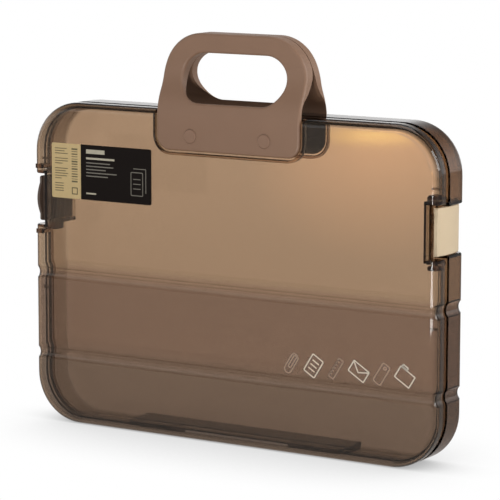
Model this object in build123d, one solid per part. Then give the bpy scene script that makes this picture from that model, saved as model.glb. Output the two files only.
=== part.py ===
"""Portable file box: two see-through clamshell halves, split carry handle, side latches.

Millimetres.  X runs across the width, Y from front (-) to rear (+), Z up.
The origin is the middle of the base: Z = 0 is the floor, Y = 0 the mid-depth plane.
"""
import os
from build123d import *

# ---- driving dimensions -----------------------------------------------------

# case
case_width = 350.0
case_height = 247.5
case_depth = 41.0
corner_radius = 38.0
wall = 2.2
face_edge_radius = 6.2
cover_depth = 12.4

# shadow channel between the two rims, and the lip that closes it from inside
channel_width = 5.1
lip_wall = 1.8
lip_reach = 1.4
lip_clearance = 0.4
rim_bevel = 0.9

# two grip grooves that run round the case
groove_heights = (53.1, 115.7)
groove_radius = 7.2
groove_side_depth = 2.0
groove_face_depth = 1.1

# side notches for the latches
notch_depth = 9.7
notch_drop = 75.1
cover_notch_height = 39.4
rear_notch_height = 35.6
mouth_bevel = 0.6
catch_block_length = 7.6
catch_block_height = 3.4
catch_block_gap = 1.5
catch_block_radius = 1.4
catch_rib_height = 3.2
catch_rib_width = 1.6
upper_tab_gap = 10.9
lower_tab_gap = 49.7
tab_length = 8.5
tab_thickness = 1.5
tab_radius = 0.6

# latches
latch_height = 34.6
latch_set_back = 2.6
latch_plate = 2.2
latch_crown_turn = 14.0
latch_front_gap = 4.4
latch_bow = 2.3
latch_bow_length = 24.0
latch_flare = 0.9
latch_flare_length = 4.6
latch_corner_radius = 1.6
latch_edge_radius = 0.9
latch_barrel_radius = 3.3
latch_pin_radius = 1.25
latch_pin_inset = 5.3
latch_pin_seat = 3.4
hook_width = 1.8

# hinge along the bottom
knuckle_radius = 2.2
knuckle_length = 14.0
knuckle_count = 3
knuckle_gap = 0.4
hinge_offset = 68.0
hinge_pin_radius = 1.0
well_width = 184.0
well_rear = 15.0
closing_rib_height = 4.4

# handle
handle_width = 124.0
handle_rise = 56.5
handle_overlap = 30.2
handle_top_radius = 32.5
handle_bottom_radius = 11.0
handle_plate = 3.0
handle_skin = 2.6
handle_rim = 2.8
grip_face = 9.6
half_gap = 0.8
bend_start_drop = 7.0
bend_end_rise = 36.5
inner_bend_end_rise = 37.4
outer_bend_turn = 0.5
inner_bend_turn = 0.3
finger_length = 89.4
finger_height = 36.6
finger_rise = 5.5
handle_edge_radius = 2.2
handle_pocket_clearance = 1.2

# handle rivets
rivet_spacing = 64.0
rivet_drop = 18.8
rivet_head_radius = 5.3
rivet_head_thickness = 1.6
rivet_head_proud = 0.9
rivet_edge_bevel = 0.7
rivet_shank_radius = 2.5
rivet_tail_radius = 4.4
rivet_tail_thickness = 1.2

# stuck-on label
label_side_margin = 17.5
label_top_margin = 30.8
label_width = 91.3
label_height = 41.9
label_cream_width = 27.0
label_thickness = 0.25
label_corner_radius = 1.5

# fits
running_clearance = 0.05
loose_clearance = 0.15
moving_gap = 0.35

# ---- places worked out from the dimensions ------------------------------------

half_width = case_width / 2
front_y = -case_depth / 2
rear_y = case_depth / 2
cover_rim_y = front_y + cover_depth
rear_rim_y = cover_rim_y + channel_width
lip_front_y = cover_rim_y - lip_reach
lip_inset = wall + lip_clearance
notch_floor_x = half_width - notch_depth
notch_middle = case_height - notch_drop
upper_tab = notch_middle + cover_notch_height / 2 + upper_tab_gap
lower_tab = notch_middle - cover_notch_height / 2 - lower_tab_gap
hinge_y = cover_rim_y + channel_width / 2
hinge_z = knuckle_radius
well_top = 2 * knuckle_radius + moving_gap + loose_clearance
handle_top = case_height + handle_rise
handle_bottom = case_height - handle_overlap
bend_start = case_height - bend_start_drop
bend_end = case_height + bend_end_rise
inner_bend_end = case_height + inner_bend_end_rise
finger_bottom = case_height + finger_rise
rivet_height = case_height - rivet_drop
label_left = -half_width + label_side_margin
label_bottom = case_height - label_top_margin - label_height
pocket_depth = handle_plate
pocket_width = handle_width + 2 * handle_pocket_clearance
pocket_bottom = handle_bottom - handle_pocket_clearance
pocket_radius = handle_bottom_radius + handle_pocket_clearance
latch_face_x = half_width - latch_set_back
latch_pin_x = latch_face_x - latch_barrel_radius
latch_pin_y = rear_y - latch_pin_inset
catch_rib_y = front_y + latch_front_gap + 2 * hook_width
catch_back_y = lip_front_y - moving_gap
beyond = 5.0
outward_tilt = -0.4
latch_front_reach = notch_depth + 2 * beyond


def prism(sketch, y_low, y_high):
    """Sketch drawn in X and Z, made solid from y_low to y_high."""
    return extrude(Plane.XZ.offset(-y_high) * sketch, amount=y_high - y_low)


def box_between(low, high):
    """Box from its lowest to its highest corner."""
    size = [b - a for a, b in zip(low, high)]
    centre = [(a + b) / 2 for a, b in zip(low, high)]
    return Pos(*centre) * Box(*size)


def plain_outline(inset):
    """Rounded rectangle of the case, moved inwards."""
    shape = RectangleRounded(case_width - 2 * inset, case_height - 2 * inset, corner_radius - inset)
    return Pos(0, case_height / 2) * shape


def notch_sketch(height, growth):
    """Both side notches, grown on every side."""
    length = notch_depth + growth + beyond
    middle = half_width - notch_depth - growth + length / 2
    notch = Rectangle(length, height + 2 * growth)
    return Pos(middle, notch_middle) * notch + Pos(-middle, notch_middle) * notch


def well_sketch(growth):
    """Raised stretch of the bottom that makes room for the hinge, grown on every side."""
    top = well_top + growth
    return Pos(0, (top - beyond) / 2) * Rectangle(well_width + 2 * growth, top + beyond)


def pocket_sketch(growth):
    """Seat of the handle plate, open at the top edge, grown on every side."""
    width = pocket_width + 2 * growth
    bottom = pocket_bottom - growth
    height = case_height + 2 * beyond - bottom
    seat = Pos(0, bottom + height / 2) * Rectangle(width, height)
    lower_corners = seat.vertices().sort_by(Axis.Y)[:2]
    return fillet(lower_corners, pocket_radius + growth)


def groove_ring(height, growth):
    """Round bar that follows the case, and cuts one grip groove or leaves its inner bead."""
    bar_radius = groove_radius + growth
    side_x = half_width - groove_side_depth + groove_radius
    face_y = rear_y - groove_face_depth + groove_radius
    path_radius = face_edge_radius + groove_radius - groove_side_depth
    path = RectangleRounded(2 * side_x, 2 * face_y, path_radius).wire()
    path = Pos(0, 0, height) * path
    start = path @ 0
    section = Plane(origin=start, z_dir=path % 0) * Circle(bar_radius)
    return sweep(section, path=path)


def rounded_prism(inset, y_low, y_high, edge_radius, front):
    """Case prism with the edges of its front or rear face rounded."""
    body = prism(plain_outline(inset), y_low, y_high)
    faces = body.faces().sort_by(Axis.Y)
    face = faces[0] if front else faces[-1]
    return fillet(face.edges(), edge_radius)


def bevel_rim(body, front):
    """Bevel the outer edge of a shell's rim, at the shadow channel."""
    faces = body.faces().sort_by(Axis.Y)
    face = faces[-1] if front else faces[0]
    return chamfer(face.edges(), rim_bevel)


def at_mouth(point):
    """Whether a point of a big face lies on the edge of the handle pocket or of a side notch."""
    x = abs(point.X)
    at_pocket = x < pocket_width / 2 + loose_clearance and point.Z > pocket_bottom - loose_clearance
    at_notch = notch_floor_x - loose_clearance < x < half_width - face_edge_radius - loose_clearance
    return at_pocket or at_notch


def bevel_mouths(body, face_y):
    """Bevel the handle pocket and the side notches where they meet a big face."""
    edges = body.edges().filter_by_position(Axis.Y, face_y, face_y)
    return chamfer([edge for edge in edges if at_mouth(edge.center())], mouth_bevel)


def rivet_places():
    """X of the two rivets of a handle half."""
    return (-rivet_spacing / 2, rivet_spacing / 2)


def y_cylinder(x, z, radius, y_low, y_high):
    """Cylinder along Y between two depths."""
    return Pos(x, (y_low + y_high) / 2, z) * Rot(90, 0, 0) * Cylinder(radius, y_high - y_low)


def x_cylinder(y, z, radius, x_low, x_high):
    """Cylinder along X between two places."""
    return Pos((x_low + x_high) / 2, y, z) * Rot(0, 90, 0) * Cylinder(radius, x_high - x_low)


def mirrored_x(shape):
    """Mirror image about the middle of the width."""
    return mirror(shape, about=Plane.YZ)


def mirrored_y(shape):
    """Mirror image about the mid-depth plane."""
    return mirror(shape, about=Plane.XZ)


# ---- hinge -----------------------------------------------------------------------

def knuckle_spans(of_cover):
    """X spans of the knuckles at the right-hand hinge; the rear shell has both ends."""
    pitch = knuckle_length + knuckle_gap
    first = hinge_offset - (knuckle_count * pitch - knuckle_gap) / 2
    picked = range(1, knuckle_count, 2) if of_cover else range(0, knuckle_count, 2)
    return [(first + i * pitch, first + i * pitch + knuckle_length) for i in picked]


def cover_knuckles():
    """Fingers of the cover: eyes on short webs that leave the bottom wall."""
    fingers = []
    for low, high in knuckle_spans(True):
        eye = x_cylinder(hinge_y, hinge_z, knuckle_radius, low, high)
        web = box_between((low, cover_rim_y - wall, 0), (high, hinge_y, wall))
        fingers += [eye + web]
    return fingers


def rear_knuckles():
    """Ears of the rear shell: eyes that hang from the raised floor of the well."""
    ears = []
    for low, high in knuckle_spans(False):
        eye = x_cylinder(hinge_y, hinge_z, knuckle_radius, low, high)
        web = box_between(
            (low, hinge_y - knuckle_radius, hinge_z),
            (high, hinge_y + knuckle_radius, well_top + lip_wall / 2),
        )
        ears += [eye + web]
    return ears


def hinge_bore():
    """Bore through all knuckles of the right-hand hinge."""
    spans = knuckle_spans(False)
    return x_cylinder(
        hinge_y, hinge_z, hinge_pin_radius + running_clearance, spans[0][0] - beyond, spans[-1][1] + beyond
    )


def hinge_pin():
    """Steel pin of the right-hand hinge."""
    spans = knuckle_spans(False)
    return x_cylinder(hinge_y, hinge_z, hinge_pin_radius, spans[0][0], spans[-1][1])


# ---- shells ------------------------------------------------------------------------

def face_openings(growth):
    """Handle pocket cut into the front face, grown on every side."""
    return prism(pocket_sketch(growth), front_y - beyond, front_y + pocket_depth + growth)


def case_grooves(growth):
    """Both grip grooves."""
    return [groove_ring(height, growth) for height in groove_heights]


def wall_tab(height, length, thickness, end_radius, tab_front):
    """Flat tab with a rounded end that stands on the inside of the cover's right-hand wall."""
    root_x = half_width - wall / 2
    plate = Pos(root_x - length / 2, height) * Rectangle(length, thickness)
    free_corners = plate.vertices().sort_by(Axis.X)[:2]
    return prism(fillet(free_corners, end_radius), tab_front, catch_back_y)


def side_catches():
    """Right-hand catch rib, the blocks above and below the notch, and the rim tabs."""
    rib_half = latch_height / 2 - beyond
    rib = box_between(
        (notch_floor_x - wall / 2, catch_rib_y, notch_middle - rib_half),
        (notch_floor_x + catch_rib_height, catch_rib_y + catch_rib_width, notch_middle + rib_half),
    )
    pieces = [rib]
    block_front = front_y + wall / 2
    block_edge = cover_notch_height / 2 + wall + catch_block_gap
    for side in (-1, 1):
        height = notch_middle + side * (block_edge + catch_block_height / 2)
        block = wall_tab(height, catch_block_length, catch_block_height, catch_block_radius, block_front)
        pieces.append(block)
    for height in (lower_tab, upper_tab):
        tab = wall_tab(height, tab_length, tab_thickness, tab_radius, catch_back_y - 2 * tab_thickness)
        pieces.append(tab)
    section = prism(plain_outline(wall / 2), front_y, lip_front_y)
    return [piece & section for piece in pieces]


def front_cover():
    """Shallow front half of the clamshell."""
    outer = bevel_rim(rounded_prism(0, front_y, cover_rim_y, face_edge_radius, True), True)
    cavity = rounded_prism(
        wall, front_y + wall, cover_rim_y + beyond, face_edge_radius - wall, True
    )
    notches = prism(notch_sketch(cover_notch_height, 0), front_y - beyond, cover_rim_y + beyond)
    notch_boxes = prism(notch_sketch(cover_notch_height, wall), front_y - beyond, cover_rim_y + beyond)
    outer = bevel_mouths(outer - notches - face_openings(0), front_y) - case_grooves(0)
    cavity = cavity - notch_boxes - face_openings(wall) - case_grooves(wall)
    cover = outer - cavity

    rib_front = catch_back_y - wall
    rib = box_between(
        (-well_width / 2, rib_front, wall / 2),
        (well_width / 2, rib_front + wall, wall + closing_rib_height),
    )
    cover = cover + rib
    catches = side_catches()
    cover = cover + catches + [mirrored_x(piece) for piece in catches]
    fingers = cover_knuckles()
    cover = cover + fingers + [mirrored_x(finger) for finger in fingers]
    cover = cover - hinge_bore() - mirrored_x(hinge_bore())
    return cover


def grooved_prism(section, y_low, y_high, growth):
    """Section made solid, with the grip grooves cut into it."""
    return prism(section, y_low, y_high) - case_grooves(growth)


def lip_ring(outer_section, growth, y_low, y_high):
    """Band between an outer section and the inside of the lip, following notches, well and grooves."""
    inside = lip_inset + lip_wall
    outer = grooved_prism(outer_section, y_low, y_high, growth)
    return outer - grooved_prism(lip_section(inside), y_low, y_high, inside)


def lip_section(inset):
    """Section of the lip, moved inwards from the case outline."""
    section = plain_outline(inset) - notch_sketch(cover_notch_height, inset)
    return section - well_sketch(inset - lip_inset)


def rear_shell():
    """Deep rear half of the clamshell, with the lip that reaches into the cover."""
    outer = bevel_rim(rounded_prism(0, rear_rim_y, rear_y, face_edge_radius, False), False)
    cavity = rounded_prism(
        wall, rear_rim_y - beyond, rear_y - wall, face_edge_radius - wall, False
    )
    notches = prism(notch_sketch(rear_notch_height, 0), rear_rim_y - beyond, rear_y + beyond)
    notch_boxes = prism(notch_sketch(rear_notch_height, wall), rear_rim_y - beyond, rear_y + beyond)
    well = prism(well_sketch(0), rear_rim_y - beyond, well_rear)
    well_walls = prism(well_sketch(wall), rear_rim_y - beyond, well_rear + wall)
    outer = bevel_mouths(outer - notches - mirrored_y(face_openings(0)), rear_y) - well - case_grooves(0)
    cavity = cavity - notch_boxes - well_walls - mirrored_y(face_openings(wall)) - case_grooves(wall)
    shell = outer - cavity

    step_outline = plain_outline(0) - notch_sketch(rear_notch_height, 0) - well_sketch(0)
    step = lip_ring(step_outline, 0, rear_rim_y, rear_rim_y + wall)
    lip = lip_ring(lip_section(lip_inset), lip_inset, lip_front_y, rear_rim_y + wall)
    shell = shell + step + lip
    ears = rear_knuckles()
    shell = shell + ears + [mirrored_x(ear) for ear in ears]
    shell = shell - hinge_bore() - mirrored_x(hinge_bore())
    shell = shell - latch_pin_seats() - mirrored_x(latch_pin_seats())
    return shell


# ---- latches -------------------------------------------------------------------------

def latch_pin_seats():
    """Hole for the right-hand latch pin, in the walls above and below its notch."""
    length = rear_notch_height + 2 * latch_pin_seat
    return Pos(latch_pin_x, latch_pin_y, notch_middle) * Cylinder(latch_pin_radius, length)


def latch_pin():
    """Upright steel pin of the right-hand latch."""
    length = rear_notch_height + 2 * latch_pin_seat
    return Pos(latch_pin_x, latch_pin_y, notch_middle) * Cylinder(latch_pin_radius, length)


def latch_face_edges(body):
    """Upper and lower edges of a latch's outer face, and of its barrel."""
    edges = body.faces().sort_by(Axis.Z)[0].edges() + body.faces().sort_by(Axis.Z)[-1].edges()
    boxes = [(edge, edge.bounding_box()) for edge in edges]
    outer_x = latch_face_x - loose_clearance
    barrel_y = latch_pin_y + loose_clearance
    return [edge for edge, box in boxes if box.min.X > outer_x or box.max.Y > barrel_y]


def right_latch():
    """Rocker latch: barrel at the rear, crowned plate, bowed finger lip and a snap hook."""
    tip_y = front_y + latch_front_gap
    inner_x = latch_face_x - latch_plate
    flare_y = tip_y + latch_flare_length
    front_x = latch_face_x + latch_flare
    bow_y = tip_y - latch_bow
    hook_y = catch_rib_y - moving_gap - hook_width
    hook_x = notch_floor_x + catch_rib_height + moving_gap
    # the outer face leaves the barrel turned outwards, and comes back as a crown
    outward = Vector(1, 0).rotate(Axis.Z, latch_crown_turn)
    skin_start = Vector(latch_pin_x, latch_pin_y) + latch_barrel_radius * outward
    along = outward.rotate(Axis.Z, -90)
    with BuildSketch() as plan:
        with BuildLine():
            skin = TangentArc(skin_start, (latch_face_x, flare_y), tangent=along)
            flare = TangentArc(skin @ 1, (front_x, bow_y), tangent=skin % 1)
            lip = Line(flare @ 1, (front_x - latch_plate, bow_y))
            inside = TangentArc((inner_x, flare_y), lip @ 1, tangent=(0, -1))
            back = Line((inner_x, flare_y), (inner_x, latch_pin_y))
            Line(back @ 1, skin @ 0)
        make_face()
    plan = plan.sketch + Pos(latch_pin_x, latch_pin_y) * Circle(latch_barrel_radius)
    base = Plane.XY.offset(notch_middle - latch_height / 2)
    body = extrude(base * plan, amount=latch_height)
    body = fillet(latch_face_edges(body), latch_edge_radius)
    hook_length = inner_x + latch_plate / 2 - hook_x
    hook = Pos(hook_x + hook_length / 2, hook_y + hook_width / 2) * Rectangle(hook_length, hook_width)
    body = body + extrude(base * hook, amount=latch_height)

    # the side view of the latch: square barrel end, rounded front corners and a bowed lip
    half = latch_height / 2
    rear_edge = latch_pin_y + latch_barrel_radius + beyond
    with BuildSketch() as side:
        with BuildLine():
            Polyline(
                (tip_y, notch_middle - half), (rear_edge, notch_middle - half),
                (rear_edge, notch_middle + half), (tip_y, notch_middle + half),
                (tip_y, notch_middle - half),
            )
        make_face()
    corners = side.sketch.vertices().sort_by(Axis.X)[:2]
    outline = fillet(corners, latch_corner_radius)
    chord = latch_bow_length / 2
    bow_radius = (chord * chord + latch_bow * latch_bow) / (2 * latch_bow)
    bow = Pos(bow_y + bow_radius, notch_middle) * Circle(bow_radius)
    bow = bow & (Pos(tip_y, notch_middle) * Rectangle(2 * latch_bow + loose_clearance, latch_bow_length))
    outline = outline + bow
    side_cut = extrude(Plane.YZ.offset(notch_floor_x - beyond) * outline, amount=latch_front_reach)
    body = body & side_cut
    bore = Pos(latch_pin_x, latch_pin_y, notch_middle) * Cylinder(
        latch_pin_radius + running_clearance, latch_height + beyond
    )
    return body - bore


# ---- handle --------------------------------------------------------------------------

def handle_outline(inset):
    """Outline of the handle, moved inwards."""
    low = handle_bottom + inset
    high = handle_top - inset
    plate = Pos(0, (low + high) / 2) * Rectangle(handle_width - 2 * inset, high - low)
    corners = plate.vertices().sort_by(Axis.Y)
    plate = fillet(corners[:2], handle_bottom_radius - inset)
    corners = plate.vertices().sort_by(Axis.Y)
    return fillet(corners[-2:], handle_top_radius - inset)


def finger_sketch(growth):
    """Finger opening, grown outwards."""
    length = finger_length + 2 * growth
    height = finger_height + 2 * growth
    return Pos(0, finger_bottom + finger_height / 2) * SlotOverall(length, height)


def bend_line(plate_y, lower_z, grip_y, upper_z, turn):
    """Side view of a bend: up the plate, over in two arcs that meet at a share of it, and up the grip."""
    meeting = (plate_y + turn * (grip_y - plate_y), lower_z + turn * (upper_z - lower_z))
    lower = Line((plate_y, handle_bottom - beyond), (plate_y, lower_z))
    first = TangentArc(lower @ 1, meeting, tangent=lower % 1)
    second = TangentArc(meeting, (grip_y, upper_z), tangent=first % 1)
    upper = Line((grip_y, upper_z), (grip_y, handle_top + beyond))
    return [lower, first, second, upper]


def outer_bend(depth):
    """Bend of the visible face, or of the surface that lies a depth behind it."""
    return bend_line(front_y + depth, bend_start, depth - grip_face, bend_end, outer_bend_turn)


def side_face(outer, inner):
    """Face between an outer line and an inner line that run the same way."""
    closing = [Line(outer[0] @ 0, inner[0] @ 0), Line(outer[-1] @ 1, inner[-1] @ 1)]
    return make_face(outer + inner + closing)


def x_prism(sketch, width):
    """Sketch drawn in Y and Z, made solid across the middle of the width."""
    return extrude(Plane.YZ.offset(-width / 2) * sketch, amount=width)


def handle_half():
    """Front half of the carry handle: flat seat plate that bends into a hollow grip."""
    clear_z = case_height + handle_pocket_clearance
    back = bend_line(front_y + handle_plate, clear_z, -half_gap / 2, inner_bend_end, inner_bend_turn)
    body = x_prism(side_face(outer_bend(0), back), handle_width)
    body = body & prism(handle_outline(0), front_y - beyond, 0)
    body = body - prism(finger_sketch(0), front_y - beyond, beyond)

    # round the outer edges and the mouth of the finger opening on the visible face
    body = round_face_edges(body)

    # hollow back, open towards the other half, with a rim round the grip and the opening
    open_side = [Line((beyond, handle_bottom - beyond), (beyond, handle_top + beyond))]
    hollow = x_prism(side_face(outer_bend(handle_skin), open_side), handle_width)
    floor_z = clear_z + handle_rim
    hollow_outline = handle_outline(handle_rim) & (
        Pos(0, floor_z + handle_top / 2) * Rectangle(handle_width, handle_top)
    )
    hollow_outline = hollow_outline - finger_sketch(handle_rim)
    hollow = hollow & prism(hollow_outline, front_y - beyond, beyond)
    body = body - hollow

    for x in rivet_places():
        seat_y = front_y + rivet_head_thickness - rivet_head_proud
        body -= y_cylinder(x, rivet_height, rivet_head_radius + loose_clearance, front_y - beyond, seat_y)
        body -= y_cylinder(x, rivet_height, rivet_shank_radius + loose_clearance, front_y, rear_y)
    return body


def round_face_edges(body):
    """Round the outline and the finger opening where they meet the visible face."""
    faces = [face for face in body.faces() if face.normal_at().Y < outward_tilt]
    edges = [edge for face in faces for edge in face.edges()]
    centres = [edge.center() for edge in edges]
    single = [
        edge for edge, centre in zip(edges, centres)
        if sum((centre - other).length < loose_clearance for other in centres) == 1
    ]
    return fillet(single, handle_edge_radius)


def handle_rivets():
    """Two rivets of the front handle half: head, shank and closed end."""
    rivets = []
    seat_y = front_y + rivet_head_thickness - rivet_head_proud
    wall_y = front_y + pocket_depth + wall
    for x in rivet_places():
        head = y_cylinder(x, rivet_height, rivet_head_radius, front_y - rivet_head_proud, seat_y)
        head = chamfer(head.faces().sort_by(Axis.Y)[0].edges(), rivet_edge_bevel)
        shank = y_cylinder(x, rivet_height, rivet_shank_radius, seat_y, wall_y)
        tail = y_cylinder(x, rivet_height, rivet_tail_radius, wall_y, wall_y + rivet_tail_thickness)
        rivets.append(head + shank + tail)
    return rivets


def rivet_holes():
    """Holes for the rivet shanks through the wall behind the handle pocket."""
    radius = rivet_shank_radius + loose_clearance
    far_y = front_y + pocket_depth + 2 * wall
    return [y_cylinder(x, rivet_height, radius, front_y, far_y) for x in rivet_places()]


# ---- label ---------------------------------------------------------------------------

def label_panel(left, width, rounded_left):
    """One panel of the label, with the two corners of its outer end rounded."""
    panel = Pos(left + width / 2, label_bottom + label_height / 2) * Rectangle(width, label_height)
    corners = panel.vertices().sort_by(Axis.X)
    picked = corners[:2] if rounded_left else corners[-2:]
    return prism(fillet(picked, label_corner_radius), front_y - label_thickness, front_y)


# ---- all pieces ----------------------------------------------------------------------

def all_pieces():
    """Every node by name."""
    front_handle = handle_half()
    front_rivets = handle_rivets()
    latch = right_latch()
    pieces = {
        "front_cover": front_cover() - rivet_holes(),
        "rear_shell": rear_shell() - [mirrored_y(hole) for hole in rivet_holes()],
        "front_handle": front_handle,
        "rear_handle": mirrored_y(front_handle),
        "front_handle_rivets": Compound(children=front_rivets),
        "rear_handle_rivets": Compound(children=[mirrored_y(rivet) for rivet in front_rivets]),
        "right_latch": latch,
        "left_latch": mirrored_x(latch),
        "right_latch_pin": latch_pin(),
        "left_latch_pin": mirrored_x(latch_pin()),
        "right_hinge_pin": hinge_pin(),
        "left_hinge_pin": mirrored_x(hinge_pin()),
        "label_cream_panel": label_panel(label_left, label_cream_width, True),
        "label_dark_panel": label_panel(
            label_left + label_cream_width, label_width - label_cream_width, False
        ),
    }
    return pieces


def main():
    os.makedirs("parts", exist_ok=True)
    for name, piece in all_pieces().items():
        export_step(piece, f"parts/{name}.step")


if __name__ == "__main__":
    main()
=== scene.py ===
"""Portable file box: finishes, printing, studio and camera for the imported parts.

Metres, in the frame of the parts: X across the width, Y from the front to the rear, Z up.
"""

from math import radians

import bmesh
import bpy
from mathutils import Matrix, Vector


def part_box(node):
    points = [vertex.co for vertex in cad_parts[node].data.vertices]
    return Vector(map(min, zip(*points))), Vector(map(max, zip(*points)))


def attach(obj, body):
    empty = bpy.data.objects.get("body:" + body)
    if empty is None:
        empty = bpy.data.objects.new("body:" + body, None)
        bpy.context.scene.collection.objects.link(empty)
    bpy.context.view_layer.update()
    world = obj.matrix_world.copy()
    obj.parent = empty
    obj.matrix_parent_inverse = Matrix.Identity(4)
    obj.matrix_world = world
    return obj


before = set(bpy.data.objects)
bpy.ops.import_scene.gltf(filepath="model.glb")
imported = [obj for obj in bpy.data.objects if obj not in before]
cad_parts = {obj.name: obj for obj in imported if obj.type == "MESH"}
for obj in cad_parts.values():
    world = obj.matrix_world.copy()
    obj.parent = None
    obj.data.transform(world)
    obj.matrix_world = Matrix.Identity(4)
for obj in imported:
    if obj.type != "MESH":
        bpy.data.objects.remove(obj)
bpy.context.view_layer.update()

bl_info = {
    "name": "Portable File Box",
    "version": (1, 0, 0),
    "blender": (4, 5, 0),
    "location": "3D View > Sidebar > File Box",
    "description": "Finishes a clear clamshell file box with its handle, latches, label and printed signs",
    "category": "Object",
}

MM = 0.001
WHITE = (1.0, 1.0, 1.0, 1.0)
# air between a printed surface and its ink, so that the two never share a plane
PRINT_GAP = 0.02 * MM

# places where the painted shade of the clear walls starts and ends
GROOVE_EDGE = 4 * MM                             # either side of a groove's height
FACE_START, FACE_END = 0.6, 0.99                 # share of the normal that lies along Y
OUTSIDE_START, OUTSIDE_END = 12 * MM, 14 * MM    # distance from the mid-depth plane
WELL_TOP, WELL_SIDE = 14 * MM, 10 * MM           # height above the floor
TOP_START, TOP_END = 170 * MM, 245 * MM          # height above the floor

# sockets of a Mix node that mixes colours, whose names its other sockets share
MIX_SHARE, MIX_FIRST, MIX_SECOND, MIX_COLOUR = 0, 6, 7, 2

cover_low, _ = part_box("front_cover")
cream_low, cream_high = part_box("label_cream_panel")
dark_low, dark_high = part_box("label_dark_panel")


# ---- colours, nodes and materials ------------------------------------------------------

def linear(hex_colour):
    """Turn an sRGB hex colour such as A3896F into linear red, green and blue."""
    channels = [int(hex_colour[i:i + 2], 16) / 255 for i in (0, 2, 4)]
    return tuple(c / 12.92 if c <= 0.04045 else ((c + 0.055) / 1.055) ** 2.4 for c in channels)


def opaque(colour):
    """Add full alpha to a red, green and blue colour."""
    return (*colour[:3], 1.0)


def add_node(tree, kind, inputs=None, **settings):
    """Add a shader node, set its settings, and fill its inputs with values or links."""
    node = tree.nodes.new(kind)
    for name, value in settings.items():
        setattr(node, name, value)
    for name, value in (inputs or {}).items():
        if isinstance(value, bpy.types.NodeSocket):
            tree.links.new(value, node.inputs[name])
        else:
            node.inputs[name].default_value = value
    return node


def start_material(name):
    """Make an empty node material, and return it with its tree."""
    material = bpy.data.materials.new(name)
    material.use_nodes = True
    material.node_tree.nodes.clear()
    return material, material.node_tree


def finish_material(tree, surface, volume=None):
    """Link the last shader, and a volume if there is one, to the output."""
    inputs = {"Surface": surface}
    if volume:
        inputs["Volume"] = volume
    add_node(tree, "ShaderNodeOutputMaterial", inputs)


def mottled(tree, place, colour, width, detail, darkest, lightest):
    """Colour that clouds over and clears again about every width."""
    clouds = add_node(
        tree,
        "ShaderNodeTexNoise",
        {"Vector": place.outputs["Object"], "Scale": 1 / width, "Detail": detail},
    )
    tone = add_node(
        tree,
        "ShaderNodeMapRange",
        {"Value": clouds.outputs["Fac"], "To Min": darkest, "To Max": lightest},
    )
    shade = add_node(
        tree,
        "ShaderNodeVectorMath",
        {0: tuple(colour), "Scale": tone.outputs["Result"]},
        operation="SCALE",
    )
    return shade.outputs["Vector"]


def painted_band_shade(tree, height, groove, shade):
    """Painted shade: colour that is white above a groove and a darker shade below it."""
    above = add_node(
        tree,
        "ShaderNodeMapRange",
        {"Value": height, "From Min": groove - GROOVE_EDGE, "From Max": groove + GROOVE_EDGE},
    )
    tint = add_node(
        tree,
        "ShaderNodeMix",
        {MIX_SHARE: above.outputs["Result"], MIX_FIRST: opaque(shade), MIX_SECOND: WHITE},
        data_type="RGBA",
    )
    return tint.outputs[MIX_COLOUR]


def broad_faces(tree, normal, axes):
    """One on the broad faces at the front and the rear, and zero on the rims, the lip and narrow walls,
    which take the painted shade.
    """
    facing = add_node(tree, "ShaderNodeSeparateXYZ", {"Vector": normal})
    along = add_node(tree, "ShaderNodeMath", {0: facing.outputs["Y"]}, operation="ABSOLUTE")
    turned = add_node(
        tree,
        "ShaderNodeMapRange",
        {"Value": along.outputs["Value"], "From Min": FACE_START, "From Max": FACE_END},
    )
    depth_in = add_node(tree, "ShaderNodeMath", {0: axes.outputs["Y"]}, operation="ABSOLUTE")
    outside = add_node(
        tree,
        "ShaderNodeMapRange",
        {"Value": depth_in.outputs["Value"], "From Min": OUTSIDE_START, "From Max": OUTSIDE_END},
    )
    # the upright faces inside the hinge well count as broad ones too, and get no painted shade
    well = add_node(
        tree,
        "ShaderNodeMapRange",
        {"Value": axes.outputs["Z"], "From Min": WELL_TOP, "From Max": WELL_SIDE},
    )
    plain = add_node(
        tree,
        "ShaderNodeMath",
        {0: outside.outputs["Result"], 1: well.outputs["Result"]},
        operation="MAXIMUM",
    )
    broad = add_node(
        tree,
        "ShaderNodeMath",
        {0: turned.outputs["Result"], 1: plain.outputs["Value"]},
        operation="MULTIPLY",
    )
    return broad.outputs["Value"]


def painted_wall_shade(tree, look, place):
    """Painted shade on the clear walls: darker in the two lower bands, on narrow walls, and most at the
    top.
    """
    axes = add_node(tree, "ShaderNodeSeparateXYZ", {"Vector": place.outputs["Object"]})
    height = axes.outputs["Z"]
    upper = painted_band_shade(tree, height, look.upper_groove, look.lower_painted_shade)
    lower = painted_band_shade(tree, height, look.lower_groove, look.lowest_painted_shade)
    bands = add_node(
        tree,
        "ShaderNodeMix",
        {MIX_SHARE: 1.0, MIX_FIRST: upper, MIX_SECOND: lower},
        data_type="RGBA",
        blend_type="MULTIPLY",
    )
    top = add_node(
        tree,
        "ShaderNodeMapRange",
        {"Value": height, "From Min": TOP_START, "From Max": TOP_END},
    )
    narrow = add_node(
        tree,
        "ShaderNodeMix",
        {
            MIX_SHARE: top.outputs["Result"],
            MIX_FIRST: opaque(look.side_painted_shade),
            MIX_SECOND: opaque(look.top_painted_shade),
        },
        data_type="RGBA",
    )
    walls = add_node(
        tree,
        "ShaderNodeMix",
        {
            MIX_SHARE: broad_faces(tree, place.outputs["Normal"], axes),
            MIX_FIRST: narrow.outputs[MIX_COLOUR],
            MIX_SECOND: WHITE,
        },
        data_type="RGBA",
    )
    tint = add_node(
        tree,
        "ShaderNodeMix",
        {MIX_SHARE: 1.0, MIX_FIRST: bands.outputs[MIX_COLOUR], MIX_SECOND: walls.outputs[MIX_COLOUR]},
        data_type="RGBA",
        blend_type="MULTIPLY",
    )
    return tint.outputs[MIX_COLOUR]


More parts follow.
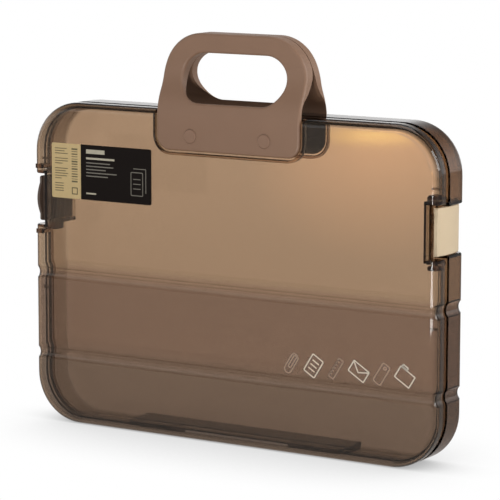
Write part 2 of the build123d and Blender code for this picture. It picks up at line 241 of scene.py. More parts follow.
def clear_brown_styrene(name, look, tint_per_metre):
    """Tinted clear styrene, moulded and glossy: its wall takes light away, most of all along an edge,
    partly through its depth and partly through painted shade in its colour.
    """
    material, tree = start_material(name)
    place = add_node(tree, "ShaderNodeTexCoord")
    # moulding leaves slow, shallow waves in the flat walls
    waves = add_node(
        tree,
        "ShaderNodeTexNoise",
        {"Vector": place.outputs["Object"], "Scale": 1 / look.wave_length, "Detail": 1.0},
    )
    wavy = add_node(
        tree,
        "ShaderNodeBump",
        {"Height": waves.outputs["Fac"], "Strength": 0.2, "Distance": look.wave_depth},
    )
    plastic = add_node(
        tree,
        "ShaderNodeBsdfPrincipled",
        {
            # painted shade: the base colour darkens the lower bands, the narrow walls and the top
            "Base Color": painted_wall_shade(tree, look, place),
            "Roughness": 0.04,
            "IOR": 1.5,
            "Transmission Weight": 1.0,
            "Normal": wavy.outputs["Normal"],
        },
    )
    # lamps shine through the walls, tinted by them, and not only round them
    ray = add_node(tree, "ShaderNodeLightPath")
    through = add_node(tree, "ShaderNodeBsdfTransparent", {"Color": opaque(look.lamp_tint)})
    shader = add_node(
        tree,
        "ShaderNodeMixShader",
        {0: ray.outputs["Is Shadow Ray"], 1: plastic.outputs["BSDF"], 2: through.outputs["BSDF"]},
    )
    depth = add_node(
        tree,
        "ShaderNodeVolumeAbsorption",
        {"Color": opaque(look.tint), "Density": tint_per_metre},
    )
    finish_material(tree, shader.outputs["Shader"], depth.outputs["Volume"])
    return material


def moulded_plastic(name, colour, roughness, grain):
    """Opaque ABS out of an etched mould: satin, with a fine grain and faint flow marks."""
    material, tree = start_material(name)
    place = add_node(tree, "ShaderNodeTexCoord")
    pits = add_node(
        tree,
        "ShaderNodeTexNoise",
        {"Vector": place.outputs["Object"], "Scale": 1 / grain, "Detail": 3.0, "Roughness": 0.6},
    )
    rough = add_node(
        tree,
        "ShaderNodeMapRange",
        {"Value": pits.outputs["Fac"], "To Min": roughness - 0.06, "To Max": roughness + 0.06},
    )
    etched = add_node(
        tree,
        "ShaderNodeBump",
        {"Height": pits.outputs["Fac"], "Strength": 0.25, "Distance": grain / 12},
    )
    plastic = add_node(
        tree,
        "ShaderNodeBsdfPrincipled",
        {
            # the flow of the melt leaves broad, barely visible clouds
            "Base Color": mottled(tree, place, colour, 25 * MM, detail=2.0, darkest=0.94, lightest=1.06),
            "Roughness": rough.outputs["Result"],
            "IOR": 1.54,
            "Normal": etched.outputs["Normal"],
        },
    )
    finish_material(tree, plastic.outputs["BSDF"])
    return material


def drawn_steel(name, colour):
    """Plain steel wire, drawn through a die: bright, its shine a little uneven."""
    material, tree = start_material(name)
    place = add_node(tree, "ShaderNodeTexCoord")
    # real drawing marks are finer than 0.3 mm, which is as fine as shows
    marks = add_node(
        tree,
        "ShaderNodeTexNoise",
        {"Vector": place.outputs["Object"], "Scale": 1 / (0.3 * MM), "Detail": 2.0},
    )
    rough = add_node(
        tree,
        "ShaderNodeMapRange",
        {"Value": marks.outputs["Fac"], "To Min": 0.22, "To Max": 0.38},
    )
    metal = add_node(
        tree,
        "ShaderNodeBsdfPrincipled",
        {"Base Color": opaque(colour), "Metallic": 1.0, "Roughness": rough.outputs["Result"]},
    )
    finish_material(tree, metal.outputs["BSDF"])
    return material


def printed_paper(name, colour):
    """Coated paper label: even ink over fibres that show as a faint mottle."""
    material, tree = start_material(name)
    place = add_node(tree, "ShaderNodeTexCoord")
    fibres = mottled(tree, place, colour, 1.2 * MM, detail=4.0, darkest=0.9, lightest=1.1)
    paper = add_node(
        tree,
        "ShaderNodeBsdfPrincipled",
        {"Base Color": fibres, "Roughness": 0.5, "Specular IOR Level": 0.12},
    )
    finish_material(tree, paper.outputs["BSDF"])
    return material


def screen_ink(name, colour):
    """Screen-printed ink: matt, a little thinner where the mesh left less."""
    material, tree = start_material(name)
    place = add_node(tree, "ShaderNodeTexCoord")
    cover = mottled(tree, place, colour, 3 * MM, detail=2.0, darkest=0.85, lightest=1.1)
    ink = add_node(tree, "ShaderNodeBsdfPrincipled", {"Base Color": cover, "Roughness": 0.6})
    finish_material(tree, ink.outputs["BSDF"])
    return material


def dress(material, *names):
    """Give CAD nodes their finish."""
    for name in names:
        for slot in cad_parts[name].material_slots:
            slot.material = material


# ---- flat shapes of print ----------------------------------------------------------------

def bar(width, height, corner=0.0):
    """Flat filled rectangle, its corners rounded if asked."""
    shape = bmesh.new()
    bmesh.ops.create_grid(shape, x_segments=1, y_segments=1, size=0.5)
    bmesh.ops.scale(shape, vec=(width, height, 1), verts=shape.verts)
    if corner:
        bmesh.ops.bevel(
            shape,
            geom=shape.verts[:],
            offset=corner,
            segments=5,
            profile=0.5,
            material=-1,
            affect="VERTICES",
        )
    return shape


def outline(width, height, corner, line):
    """Flat outline of a rounded rectangle, a line wide."""
    shape = bar(width, height, corner)
    middle = shape.faces[:]
    bmesh.ops.inset_individual(shape, faces=middle, thickness=line, use_even_offset=True)
    bmesh.ops.delete(shape, geom=middle, context="FACES")
    return shape


def placed(shape, x, y, turn=0.0):
    """Move a flat shape within the plane of the print, after turning it."""
    spot = Matrix.Translation((x, y, 0)) @ Matrix.Rotation(turn, 4, "Z")
    bmesh.ops.transform(shape, matrix=spot, verts=shape.verts)
    return shape


def joined(shapes):
    """Put several flat shapes into one."""
    total = bmesh.new()
    for shape in shapes:
        part = bpy.data.meshes.new("part")
        shape.to_mesh(part)
        shape.free()
        total.from_mesh(part)
        bpy.data.meshes.remove(part)
    return total


def print_piece(name, shapes, behind_y, thickness, material):
    """Stand flat shapes up against a face that looks to the front, as one layer of ink on the cover."""
    total = joined(shapes)
    upright = Matrix.Translation((0, behind_y - PRINT_GAP, 0)) @ Matrix.Rotation(radians(90), 4, "X")
    bmesh.ops.transform(total, matrix=upright, verts=total.verts)
    raised = bmesh.ops.extrude_face_region(total, geom=total.faces[:], use_keep_orig=True)
    front = [item for item in raised["geom"] if isinstance(item, bmesh.types.BMVert)]
    bmesh.ops.translate(total, vec=(0, -thickness, 0), verts=front)
    bmesh.ops.recalc_face_normals(total, faces=total.faces)
    mesh = bpy.data.meshes.new(name)
    total.to_mesh(mesh)
    total.free()
    piece = bpy.data.objects.new(name, mesh)
    bpy.context.scene.collection.objects.link(piece)
    mesh.materials.append(material)
    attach(piece, "cover")


def rule(left, height, length, thickness):
    """Flat bar that starts at its left end."""
    return placed(bar(length, thickness), left + length / 2, height)


# ---- printed signs: lengths are shares of a sign's size, but for the width of its lines --

def sheets_sign(size, line):
    """Two sheets, one behind the other: a page outline with rules, and the edges of the next page."""
    wide = 0.62 * size
    step = 0.14 * size
    rules = [placed(bar(0.6 * wide, line), 0, row * 0.2 * size) for row in (-1, 0, 1)]
    behind = [
        placed(bar(wide, line), step, size / 2 + step),
        placed(bar(line, size), wide / 2 + step, step),
    ]
    return [outline(wide, size, 0.06 * size, line), *rules, *behind]


def clip_sign(size, line):
    """Paper clip: a long loop with a shorter one inside."""
    return [
        outline(0.42 * size, size, 0.2 * size, line),
        placed(outline(0.2 * size, 0.66 * size, 0.09 * size, line), 0, 0.1 * size),
    ]


def sheet_sign(size, line):
    """Written sheet: a page outline with three rules."""
    rules = [placed(bar(0.36 * size, line), 0, step * 0.2 * size) for step in (-1, 0, 1)]
    return [outline(0.66 * size, 0.92 * size, 0.08 * size, line), *rules]


def envelope_sign(size, line):
    """Envelope: a wide outline with the two slopes of its flap."""
    flaps = [
        placed(bar(0.5 * size, line), side * 0.2 * size, 0.08 * size, side * radians(35))
        for side in (-1, 1)
    ]
    return [outline(0.92 * size, 0.6 * size, 0.06 * size, line), *flaps]


def tag_sign(size, line):
    """Tag: a slim outline with an eyelet near one end."""
    eyelet = placed(outline(0.18 * size, 0.18 * size, 0.085 * size, line), 0, 0.3 * size)
    return [outline(0.46 * size, size, 0.12 * size, line), eyelet]


def ruler_sign(size, line):
    """Ruler: a long outline with short ticks."""
    ticks = [
        placed(bar(0.14 * size, line), -0.09 * size, step * 0.16 * size) for step in (-2, -1, 0, 1, 2)
    ]
    return [outline(0.32 * size, size, 0.03 * size, line), *ticks]


def folder_sign(size, line):
    """Folder: a pocket outline with a tab above it."""
    tab = placed(outline(0.34 * size, 0.16 * size, 0.03 * size, line), -0.2 * size, 0.36 * size)
    return [outline(0.86 * size, 0.62 * size, 0.05 * size, line), tab]


SIGNS = (clip_sign, sheet_sign, ruler_sign, envelope_sign, tag_sign, folder_sign)


# ---- marks of the label ------------------------------------------------------------------

def dark_panel_marks():
    """Pale marks, then dim marks: heading, rule and foot; lines of uneven length and two sheets."""
    margin = 5 * MM
    left = dark_low.x + margin
    top = dark_high.z - margin
    heading = rule(left, top, length=17 * MM, thickness=3.2 * MM)
    under_heading = rule(left, top - 5.2 * MM, length=26 * MM, thickness=1.5 * MM)
    foot = rule(left, dark_low.z + margin, length=9 * MM, thickness=1.2 * MM)

    first_line = top - 8.6 * MM
    pitch = 2.5 * MM
    line_lengths = (22, 25, 18, 28, 20)
    lines = [
        rule(left, first_line - step * pitch, length * MM, thickness=0.8 * MM)
        for step, length in enumerate(line_lengths)
    ]
    sheets = joined(sheets_sign(size=18 * MM, line=0.6 * MM))
    sheets = placed(sheets, dark_high.x - 13 * MM, dark_low.z + 15 * MM)
    return [heading, under_heading, foot], [*lines, sheets]


def cream_panel_marks():
    """Deep marks: groups of thin rules on the left, a ladder of uneven bars and a small square."""
    top = cream_high.z - 4 * MM
    pitch = 1.9 * MM
    # a length of zero leaves a gap between two groups
    note_lengths = (11, 9, 12, 0, 12, 12, 7, 0, 12, 10, 12, 11, 6, 0, 8, 8, 8, 8)
    notes = [
        rule(cream_low.x + 3 * MM, top - step * pitch, length * MM, thickness=0.6 * MM)
        for step, length in enumerate(note_lengths)
        if length
    ]
    ladder = cream_high.x - 8.5 * MM
    rung = 5.5 * MM
    rung_thicknesses = (1.2, 0.5, 0.9, 0.5, 0.5, 1.2, 0.9, 0.5, 1.2, 0.5, 0.9, 0.9, 0.5, 1.2)
    rungs = [
        rule(ladder, top - step * pitch, rung, thickness * MM)
        for step, thickness in enumerate(rung_thicknesses)
    ]
    square = outline(rung, rung, corner=0.4 * MM, line=0.8 * MM)
    square = placed(square, ladder + rung / 2, cream_low.z + 6 * MM)
    return [*notes, *rungs, square]


# ---- settings ------------------------------------------------------------------------------

class FileBoxShells(bpy.types.PropertyGroup):
    """Look of the clear shells."""
    tint: bpy.props.FloatVectorProperty(
        name="Tint", description="Colour that the clear wall lets through", subtype="COLOR",
        default=linear("BF9C5F"), min=0.0, max=1.0,
    )
    # painted shade and light: one plastic, with a lighter tint in the cover and a deeper one in the rear
    # shell, so that the shell's walls read darker and the cover's lighter
    cover_tint_depth: bpy.props.FloatProperty(
        name="Cover Tint Depth",
        description="How strongly each metre of the cover's wall takes light away",
        default=365.0, min=0.0,
    )
    shell_tint_depth: bpy.props.FloatProperty(
        name="Shell Tint Depth",
        description="How strongly each metre of the rear shell's wall takes light away",
        default=690.0, min=0.0,
    )
    lamp_tint: bpy.props.FloatVectorProperty(
        name="Lamp Tint", description="Colour of lamp light past one face of a wall", subtype="COLOR",
        default=linear("D9CBBB"), min=0.0, max=1.0,
    )
    # painted shade below the upper groove
    lower_painted_shade: bpy.props.FloatVectorProperty(
        name="Lower Shade", description="Deeper colour below the upper groove", subtype="COLOR",
        default=linear("E1DDE0"), min=0.0, max=1.0,
    )
    # painted shade below the lower groove, on top of the one above
    lowest_painted_shade: bpy.props.FloatVectorProperty(
        name="Lowest Shade", description="Deeper colour below the lower groove", subtype="COLOR",
        default=linear("F2F6F8"), min=0.0, max=1.0,
    )
    # painted shade on the narrow walls at the sides
    side_painted_shade: bpy.props.FloatVectorProperty(
        name="Side Shade", description="Deeper colour of the narrow walls at the sides", subtype="COLOR",
        default=linear("DAD7D2"), min=0.0, max=1.0,
    )
    # painted shade, the deepest, on the narrow walls round the top
    top_painted_shade: bpy.props.FloatVectorProperty(
        name="Top Shade", description="Deepest colour, of the narrow walls round the top", subtype="COLOR",
        default=linear("998F84"), min=0.0, max=1.0,
    )
    upper_groove: bpy.props.FloatProperty(
        name="Upper Groove", description="Height of the upper grip groove",
        default=115.7 * MM, unit="LENGTH",
    )
    lower_groove: bpy.props.FloatProperty(
        name="Lower Groove", description="Height of the lower grip groove",
        default=53.1 * MM, unit="LENGTH",
    )
    wave_length: bpy.props.FloatProperty(
        name="Wave Length", description="From crest to crest of the moulding's waves",
        default=40 * MM, unit="LENGTH",
    )
    wave_depth: bpy.props.FloatProperty(
        name="Wave Depth", description="Height of the moulding's waves", default=0.15 * MM, unit="LENGTH"
    )


class FileBoxFittings(bpy.types.PropertyGroup):
    """Colours of the handle, rivets, latches and pins."""
    handle: bpy.props.FloatVectorProperty(
        name="Handle", description="Taupe of the carry handle", subtype="COLOR",
        default=linear("8A6A54"), min=0.0, max=1.0,
    )
    rivet: bpy.props.FloatVectorProperty(
        name="Rivets", description="Taupe of the rivet heads", subtype="COLOR",
        default=linear("8B6B56"), min=0.0, max=1.0,
    )
    latch: bpy.props.FloatVectorProperty(
        name="Right Latch", description="Beige of the right latch", subtype="COLOR",
        default=linear("CFBA9A"), min=0.0, max=1.0,
    )
    # painted shade: the left latch is the same part as the right one, darkened to deep brown for the unlit
    # left side
    latch_painted_shade: bpy.props.FloatVectorProperty(
        name="Left Latch", description="Deep brown of the left latch", subtype="COLOR",
        default=linear("5A4A40"), min=0.0, max=1.0,
    )
    steel: bpy.props.FloatVectorProperty(
        name="Pins", description="Colour of the bare steel pins", subtype="COLOR",
        default=linear("C4C3C0"), min=0.0, max=1.0,
    )


class FileBoxPrint(bpy.types.PropertyGroup):
    """Label and printed signs."""
    cream: bpy.props.FloatVectorProperty(
        name="Cream Panel", description="Paper colour of the narrow panel", subtype="COLOR",
        default=linear("CFB686"), min=0.0, max=1.0,
    )
    dark: bpy.props.FloatVectorProperty(
        name="Dark Panel", description="Ink colour of the wide panel", subtype="COLOR",
        default=linear("140D0A"), min=0.0, max=1.0,
    )
    pale_ink: bpy.props.FloatVectorProperty(
        name="Pale Ink", description="Ink of the marks on the dark panel", subtype="COLOR",
        default=linear("BDB5A0"), min=0.0, max=1.0,
    )
    dim_ink: bpy.props.FloatVectorProperty(
        name="Dim Ink", description="Ink of the fainter marks on the dark panel", subtype="COLOR",
        default=linear("7C776C"), min=0.0, max=1.0,
    )
    deep_ink: bpy.props.FloatVectorProperty(
        name="Deep Ink", description="Ink of the marks on the cream panel", subtype="COLOR",
        default=linear("6B6144"), min=0.0, max=1.0,
    )
    sign_ink: bpy.props.FloatVectorProperty(
        name="Sign Ink", description="Pale ink of every second sign on the front", subtype="COLOR",
        default=linear("E6DFD0"), min=0.0, max=1.0,
    )
    faint_sign_ink: bpy.props.FloatVectorProperty(
        name="Faint Sign Ink", description="Fainter ink of the signs between them", subtype="COLOR",
        default=linear("AE9786"), min=0.0, max=1.0,
    )
    thickness: bpy.props.FloatProperty(
        name="Ink Thickness", description="How far the ink stands up", default=0.03 * MM, unit="LENGTH"
    )
    line: bpy.props.FloatProperty(
        name="Line", description="Width of the lines of the signs", default=1.0 * MM, unit="LENGTH"
    )
    sign_size: bpy.props.FloatProperty(
        name="Sign Size", description="Length of the longest side of a sign",
        default=17 * MM, unit="LENGTH",
    )
    sign_pitch: bpy.props.FloatProperty(
        name="Sign Pitch", description="Distance from one sign to the next",
        default=18.8 * MM, unit="LENGTH",
    )
    sign_tilt: bpy.props.FloatProperty(
        name="Sign Tilt", description="Slant of the signs", default=radians(-32), unit="ROTATION"
    )
    row_left: bpy.props.FloatProperty(
        name="Row Start", description="Middle of the first sign, from the middle of the case",
        default=56 * MM, unit="LENGTH",
    )
    row_height: bpy.props.FloatProperty(
        name="Row Height", description="Height of the row of signs above the floor",
        default=68 * MM, unit="LENGTH",
    )


class FileBoxStage(bpy.types.PropertyGroup):
    """Camera and studio."""
    turn: bpy.props.FloatProperty(
        name="Camera Turn", description="How far the camera stands round to the right",
        default=radians(31.98), unit="ROTATION",
    )
    drop: bpy.props.FloatProperty(
        name="Camera Drop", description="How far the camera looks down",
        default=radians(8.77), unit="ROTATION",
    )
    roll: bpy.props.FloatProperty(
        name="Camera Roll", description="Tilt of the picture", default=radians(0.086), unit="ROTATION"
    )
    target: bpy.props.FloatVectorProperty(
        name="Target", description="Point in the middle of the view",
        default=(7.6 * MM, 0.0, 144.7 * MM), unit="LENGTH",
    )
    distance: bpy.props.FloatProperty(
        name="Distance", description="From the camera to the target", default=1.9761, unit="LENGTH"
    )
    lens: bpy.props.FloatProperty(
        name="Focal Length", description="Focal length in millimetres on a 36 mm wide sensor",
        default=192.46,
    )
    key_power: bpy.props.FloatProperty(
        name="Key Power", description="Power of the large lamp on the right", default=21.5, unit="POWER"
    )
    top_power: bpy.props.FloatProperty(
        name="Top Power", description="Power of the lamp overhead", default=7.5, unit="POWER"
    )
    edge_power: bpy.props.FloatProperty(
        name="Edge Power", description="Power of the low lamp at the front right", default=8.0, unit="POWER"
    )
    fill: bpy.props.FloatProperty(
        name="Fill", description="Level of the even light from all round", default=0.5
    )
    shadow_reach: bpy.props.FloatProperty(
        name="Shadow Reach", description="How far the soft shadow spreads on the floor",
        default=0.16, unit="LENGTH",
    )
    shadow_depth: bpy.props.FloatProperty(
        name="Shadow Depth", description="Share of its light that the floor loses in full shadow",
        default=0.6,
    )


# ---- operators -------------------------------------------------------------------------------

class FILEBOX_OT_shells(bpy.types.Operator):
    """Finish the front cover and the rear shell in clear brown plastic"""
    bl_idname = "filebox.shells"
    bl_label = "Clear Shells"

    def execute(self, context):
        look = context.scene.filebox_shells
        # two copies of one plastic: the cover's lighter tint and the shell's deeper one are painted shade
        dress(clear_brown_styrene("clear_brown_styrene_cover", look, look.cover_tint_depth), "front_cover")
        dress(clear_brown_styrene("clear_brown_styrene_shell", look, look.shell_tint_depth), "rear_shell")
        return {"FINISHED"}


class FILEBOX_OT_handles(bpy.types.Operator):
    """Finish both handle halves and their rivets in satin taupe"""
    bl_idname = "filebox.handles"
    bl_label = "Handles and Rivets"

    def execute(self, context):
        look = context.scene.filebox_fittings
        halves = moulded_plastic("taupe_abs", look.handle, roughness=0.46, grain=0.9 * MM)
        dress(halves, "front_handle", "rear_handle")
        rivets = moulded_plastic("taupe_rivet_abs", look.rivet, roughness=0.4, grain=0.7 * MM)
        dress(rivets, "front_handle_rivets", "rear_handle_rivets")
        return {"FINISHED"}


class FILEBOX_OT_latches(bpy.types.Operator):
    """Finish the right latch in satin beige, and the left one in a deep brown that is painted shade"""
    bl_idname = "filebox.latches"
    bl_label = "Latches"

    def execute(self, context):
        look = context.scene.filebox_fittings
        beige = moulded_plastic("beige_abs", look.latch, roughness=0.42, grain=0.8 * MM)
        dress(beige, "right_latch")
        # painted shade: the same latch in deep brown, for the unlit left side
        brown = moulded_plastic("latch_abs_painted_shade", look.latch_painted_shade, roughness=0.42, grain=0.8 * MM)
        dress(brown, "left_latch")
        return {"FINISHED"}


class FILEBOX_OT_pins(bpy.types.Operator):
    """Finish the hinge pins and latch pins in drawn steel"""
    bl_idname = "filebox.pins"
    bl_label = "Pins"

    def execute(self, context):
        steel = drawn_steel("drawn_steel_wire", context.scene.filebox_fittings.steel)
        dress(steel, "right_latch_pin", "left_latch_pin", "right_hinge_pin", "left_hinge_pin")
        return {"FINISHED"}


class FILEBOX_OT_label(bpy.types.Operator):
    """Finish the label's two panels and print plain marks on them"""
    bl_idname = "filebox.label"
    bl_label = "Label"

    def execute(self, context):
        look = context.scene.filebox_print
        dress(printed_paper("cream_label_paper", look.cream), "label_cream_panel")
        dress(printed_paper("dark_label_paper", look.dark), "label_dark_panel")
        pale_ink = screen_ink("pale_label_ink", look.pale_ink)
        dim_ink = screen_ink("dim_label_ink", look.dim_ink)
        deep_ink = screen_ink("deep_label_ink", look.deep_ink)
        pale, dim = dark_panel_marks()
        deep = cream_panel_marks()
        print_piece("label_pale_marks", pale, dark_low.y, look.thickness, pale_ink)
        print_piece("label_dim_marks", dim, dark_low.y, look.thickness, dim_ink)
        print_piece("label_deep_marks", deep, cream_low.y, look.thickness, deep_ink)
        return {"FINISHED"}


class FILEBOX_OT_signs(bpy.types.Operator):
    """Print the row of stationery signs low on the front"""
    bl_idname = "filebox.signs"
    bl_label = "Printed Signs"

    def execute(self, context):
        look = context.scene.filebox_print
        inks = (
            screen_ink("faint_sign_ink", look.faint_sign_ink),
            screen_ink("pale_sign_ink", look.sign_ink),
        )
        for number, sign in enumerate(SIGNS):
            flat = joined(sign(look.sign_size, look.line))
            middle = look.row_left + number * look.sign_pitch
            shape = placed(flat, middle, look.row_height, look.sign_tilt)
            ink = inks[number % len(inks)]
            print_piece(sign.__name__, [shape], cover_low.y, look.thickness, ink)
        return {"FINISHED"}


# ---- studio ------------------------------------------------------------------------------

# glow of the floor as the clear walls show it, from near the case to far off
NEAR_GLOW, FAR_GLOW = 0.42, 0.75
GLOW_START, GLOW_END = 0.35, 2.0
# pools of warm light on the floor behind the case: middle, half width and half length, colour, strength
LONG_POOL = ((-0.978, 1.977), (0.2, 1.36), linear("FFDCB8"), 1.05)
SHORT_POOL = ((-0.935, 1.87), (0.1, 0.18), linear("F7FF80"), 1.4)
POOL_TURN = radians(29)
# the sky as gloss shows it: its level low down and high up, and the Z of the directions between them
LOW_SKY, HIGH_SKY = 1.0, 0.15
SKY_START, SKY_END = 0.2, 0.5
# share of open sky above which the floor shows no shadow
UNSHADED = 0.85


def area_lamp(name, place, aim, size, power):
    """Large flat lamp that faces a point, and isn't seen itself, not even through the clear walls."""
    lamp = bpy.data.lights.new(name, "AREA")
    lamp.shape = "RECTANGLE"
    lamp.size, lamp.size_y = size
    lamp.energy = power
    holder = bpy.data.objects.new(name, lamp)
    holder.location = place
    holder.rotation_euler = (Vector(aim) - Vector(place)).to_track_quat("-Z", "Y").to_euler()
    holder.visible_camera = False
    holder.visible_transmission = False
    bpy.context.scene.collection.objects.link(holder)


def light_pool(tree, place, middle, reach, colour, strength):
    """Oval pool of light on the floor that fades out evenly; reach is its half width and half length."""
    spot = add_node(
        tree,
        "ShaderNodeMapping",
        {
            "Vector": place.outputs["Object"],
            "Location": (*middle, 0.0),
            "Rotation": (0.0, 0.0, POOL_TURN),
            "Scale": (*reach, 1.0),
        },
        vector_type="TEXTURE",
    )
    away = add_node(tree, "ShaderNodeVectorMath", {0: spot.outputs["Vector"]}, operation="LENGTH")
    fade = add_node(
        tree,
        "ShaderNodeMath",
        {0: 1.0, 1: away.outputs["Value"]},
        operation="SUBTRACT",
        use_clamp=True,
    )
    return add_node(
        tree,
        "ShaderNodeVectorMath",
        {0: tuple(strength * channel for channel in colour), "Scale": fade.outputs["Value"]},
        operation="SCALE",
    )


def floor_glow(tree):
    """Glow of the floor: dimmer near the case, with two pools of warm light behind it."""
    place = add_node(tree, "ShaderNodeTexCoord")
    away = add_node(tree, "ShaderNodeVectorMath", {0: place.outputs["Object"]}, operation="LENGTH")
    base = add_node(
        tree,
        "ShaderNodeMapRange",
        {
            "Value": away.outputs["Value"],
            "From Min": GLOW_START,
            "From Max": GLOW_END,
            "To Min": NEAR_GLOW,
            "To Max": FAR_GLOW,
        },
        interpolation_type="SMOOTHSTEP",
    )
    long_pool = light_pool(tree, place, *LONG_POOL)
    short_pool = light_pool(tree, place, *SHORT_POOL)
    pools = add_node(
        tree,
        "ShaderNodeVectorMath",
        {0: long_pool.outputs["Vector"], 1: short_pool.outputs["Vector"]},
        operation="ADD",
    )
    level = add_node(
        tree,
        "ShaderNodeVectorMath",
        {0: pools.outputs["Vector"], 1: base.outputs["Result"]},
        operation="ADD",
    )
    return add_node(tree, "ShaderNodeEmission", {"Color": level.outputs["Vector"]})


def white_paper_sweep(look):
    """Pale floor: matt paper to the light, glowing through clear walls, and a white veil to the eye."""
    material, tree = start_material("white_paper_sweep")
    ray = add_node(tree, "ShaderNodeLightPath")
    paper = add_node(tree, "ShaderNodeBsdfDiffuse", {"Color": opaque(linear("E7E7E7"))})
    glow = floor_glow(tree)
    lifted = add_node(tree, "ShaderNodeAddShader", {0: paper.outputs["BSDF"], 1: glow.outputs["Emission"]})
    through_walls = add_node(
        tree,
        "ShaderNodeMixShader",
        {0: ray.outputs["Is Transmission Ray"], 1: paper.outputs["BSDF"], 2: lifted.outputs["Shader"]},
    )
    # gloss shows the sweep as if it fell off into shade away from the case
    mirrored = add_node(tree, "ShaderNodeEmission", {"Color": opaque(linear("AEAAA6"))})
    gloss = add_node(
        tree,
        "ShaderNodeMath",
        {0: ray.outputs["Is Glossy Ray"], 1: ray.outputs["Is Transmission Ray"]},
        operation="SUBTRACT",
        use_clamp=True,
    )
    reflected = add_node(
        tree,
        "ShaderNodeMixShader",
        {0: gloss.outputs["Value"], 1: through_walls.outputs["Shader"], 2: mirrored.outputs["Emission"]},
    )
    # the veil holds the soft shadow of what stands on it, and lets the open cover, which hangs below
    # the base, show through
    open_sky = add_node(
        tree,
        "ShaderNodeAmbientOcclusion",
        {"Distance": look.shadow_reach},
        samples=16,
    )
    shadow = add_node(
        tree,
        "ShaderNodeMapRange",
        {"Value": open_sky.outputs["AO"], "From Max": UNSHADED, "To Min": 1.0 - look.shadow_depth},
    )
    veil = add_node(tree, "ShaderNodeBsdfTransparent", {"Color": shadow.outputs["Result"]})
    seen = add_node(
        tree,
        "ShaderNodeMixShader",
        {0: ray.outputs["Is Camera Ray"], 1: reflected.outputs["Shader"], 2: veil.outputs["BSDF"]},
    )
    # light gets past it to what hangs below
    clear = add_node(tree, "ShaderNodeBsdfTransparent")
    lit = add_node(
        tree,
        "ShaderNodeMixShader",
        {0: ray.outputs["Is Shadow Ray"], 1: seen.outputs["Shader"], 2: clear.outputs["BSDF"]},
    )
    finish_material(tree, lit.outputs["Shader"])
    return material


def round_floor(material):
    """Wide flat disc to stand on."""
    shape = bmesh.new()
    bmesh.ops.create_circle(shape, cap_ends=True, segments=64, radius=12.0)
    mesh = bpy.data.meshes.new("floor")
    shape.to_mesh(mesh)
    shape.free()
    mesh.materials.append(material)
    floor = bpy.data.objects.new("floor", mesh)
    bpy.context.scene.collection.objects.link(floor)
    return floor


def studio_world(fill):
    """Even light from all round, plain white where it is looked at, and a bright horizon in the gloss."""
    world = bpy.data.worlds.new("studio")
    world.use_nodes = True
    tree = world.node_tree
    tree.nodes.clear()
    direction = add_node(tree, "ShaderNodeTexCoord")
    climb = add_node(tree, "ShaderNodeSeparateXYZ", {"Vector": direction.outputs["Generated"]})
    mirrored = add_node(
        tree,
        "ShaderNodeMapRange",
        {
            "Value": climb.outputs["Z"],
            "From Min": SKY_START,
            "From Max": SKY_END,
            "To Min": LOW_SKY,
            "To Max": HIGH_SKY,
        },
    )
    even = add_node(tree, "ShaderNodeBackground", {"Color": WHITE, "Strength": fill})
    sweep = add_node(
        tree,
        "ShaderNodeBackground",
        {"Color": WHITE, "Strength": mirrored.outputs["Result"]},
    )
    white = add_node(tree, "ShaderNodeBackground", {"Color": WHITE})
    ray = add_node(tree, "ShaderNodeLightPath")
    reflected = add_node(
        tree,
        "ShaderNodeMixShader",
        {0: ray.outputs["Is Glossy Ray"], 1: even.outputs["Background"], 2: sweep.outputs["Background"]},
    )
    # the camera's rays, and rays through clear walls
    direct = add_node(
        tree,
        "ShaderNodeMath",
        {0: ray.outputs["Is Camera Ray"], 1: ray.outputs["Is Transmission Ray"]},
        operation="MAXIMUM",
    )
    mixed = add_node(
        tree,
        "ShaderNodeMixShader",
        {0: direct.outputs["Value"], 1: reflected.outputs["Shader"], 2: white.outputs["Background"]},
    )
    add_node(tree, "ShaderNodeOutputWorld", {"Surface": mixed.outputs["Shader"]})
    return world


def aimed_camera(look):
    """Camera that stands round to the right of the target and looks down on it."""
    camera = bpy.data.cameras.new("camera")
    camera.lens = look.lens
    camera.sensor_width = 36.0
    holder = bpy.data.objects.new("camera", camera)
    bpy.context.scene.collection.objects.link(holder)
    facing = (
        Matrix.Rotation(look.turn, 4, "Z")
        @ Matrix.Rotation(radians(90) - look.drop, 4, "X")
        @ Matrix.Rotation(look.roll, 4, "Z")
    )
    back = facing @ Vector((0, 0, look.distance))
    holder.matrix_world = Matrix.Translation(Vector(look.target) + back) @ facing
    return holder


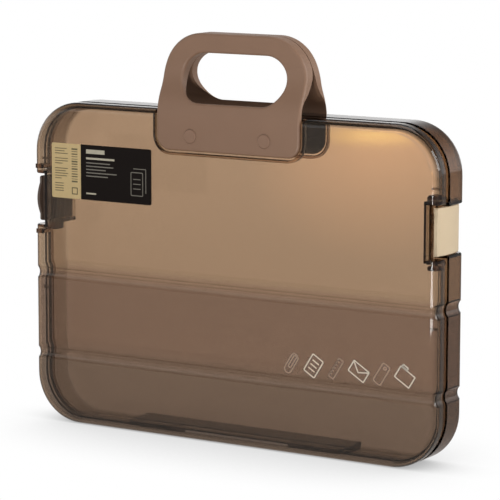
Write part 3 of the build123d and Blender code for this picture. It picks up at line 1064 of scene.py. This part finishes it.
class FILEBOX_OT_stage(bpy.types.Operator):
    """Set up the pale floor, the soft lamps and the camera"""
    bl_idname = "filebox.stage"
    bl_label = "Stage"

    def execute(self, context):
        scene = context.scene
        look = scene.filebox_stage
        floor = round_floor(white_paper_sweep(look))
        scene.world = studio_world(look.fill)

        middle = (0.0, 0.0, 0.15)
        area_lamp("key_lamp", (1.9, 0.2, 1.1), middle, size=(1.2, 1.2), power=look.key_power)
        area_lamp("top_lamp", (-0.3, 0.4, 2.0), middle, size=(1.5, 1.5), power=look.top_power)
        # a low panel at the front right draws the bright line along the rounded edges
        edge_place = Vector((0.25, -0.95, 0.02))
        straight_up = edge_place + Vector((0.0, 0.0, 1.0))
        area_lamp("edge_lamp", edge_place, straight_up, size=(0.3, 1.0), power=look.edge_power)

        scene.camera = aimed_camera(look)
        scene.view_settings.view_transform = "Standard"
        return {"FINISHED"}


# ---- sidebar -----------------------------------------------------------------------------

class FILEBOX_PT_sidebar(bpy.types.Panel):
    """File box tools in the sidebar"""
    bl_idname = "FILEBOX_PT_sidebar"
    bl_label = "File Box"
    bl_space_type = "VIEW_3D"
    bl_region_type = "UI"
    bl_category = "File Box"

    def draw(self, context):
        for group, name in PROPERTY_GROUPS:
            box = self.layout.box()
            settings = getattr(context.scene, name)
            for field in group.__annotations__:
                box.prop(settings, field)
        for operator in OPERATORS:
            self.layout.operator(operator.bl_idname)


PROPERTY_GROUPS = (
    (FileBoxShells, "filebox_shells"),
    (FileBoxFittings, "filebox_fittings"),
    (FileBoxPrint, "filebox_print"),
    (FileBoxStage, "filebox_stage"),
)

OPERATORS = (
    FILEBOX_OT_shells,
    FILEBOX_OT_handles,
    FILEBOX_OT_latches,
    FILEBOX_OT_pins,
    FILEBOX_OT_label,
    FILEBOX_OT_signs,
    FILEBOX_OT_stage,
)


def register():
    """Add the settings, the tools and the sidebar."""
    for group, name in PROPERTY_GROUPS:
        bpy.utils.register_class(group)
        setattr(bpy.types.Scene, name, bpy.props.PointerProperty(type=group))
    for tool in (*OPERATORS, FILEBOX_PT_sidebar):
        bpy.utils.register_class(tool)


def unregister():
    """Take everything away again."""
    for tool in reversed((*OPERATORS, FILEBOX_PT_sidebar)):
        bpy.utils.unregister_class(tool)
    for group, name in reversed(PROPERTY_GROUPS):
        delattr(bpy.types.Scene, name)
        bpy.utils.unregister_class(group)


def main():
    """Run every tool in order."""
    register()
    for tool in OPERATORS:
        group, name = tool.bl_idname.split(".")
        getattr(getattr(bpy.ops, group), name)()
    bpy.context.view_layer.update()


if __name__ == "__main__":
    main()
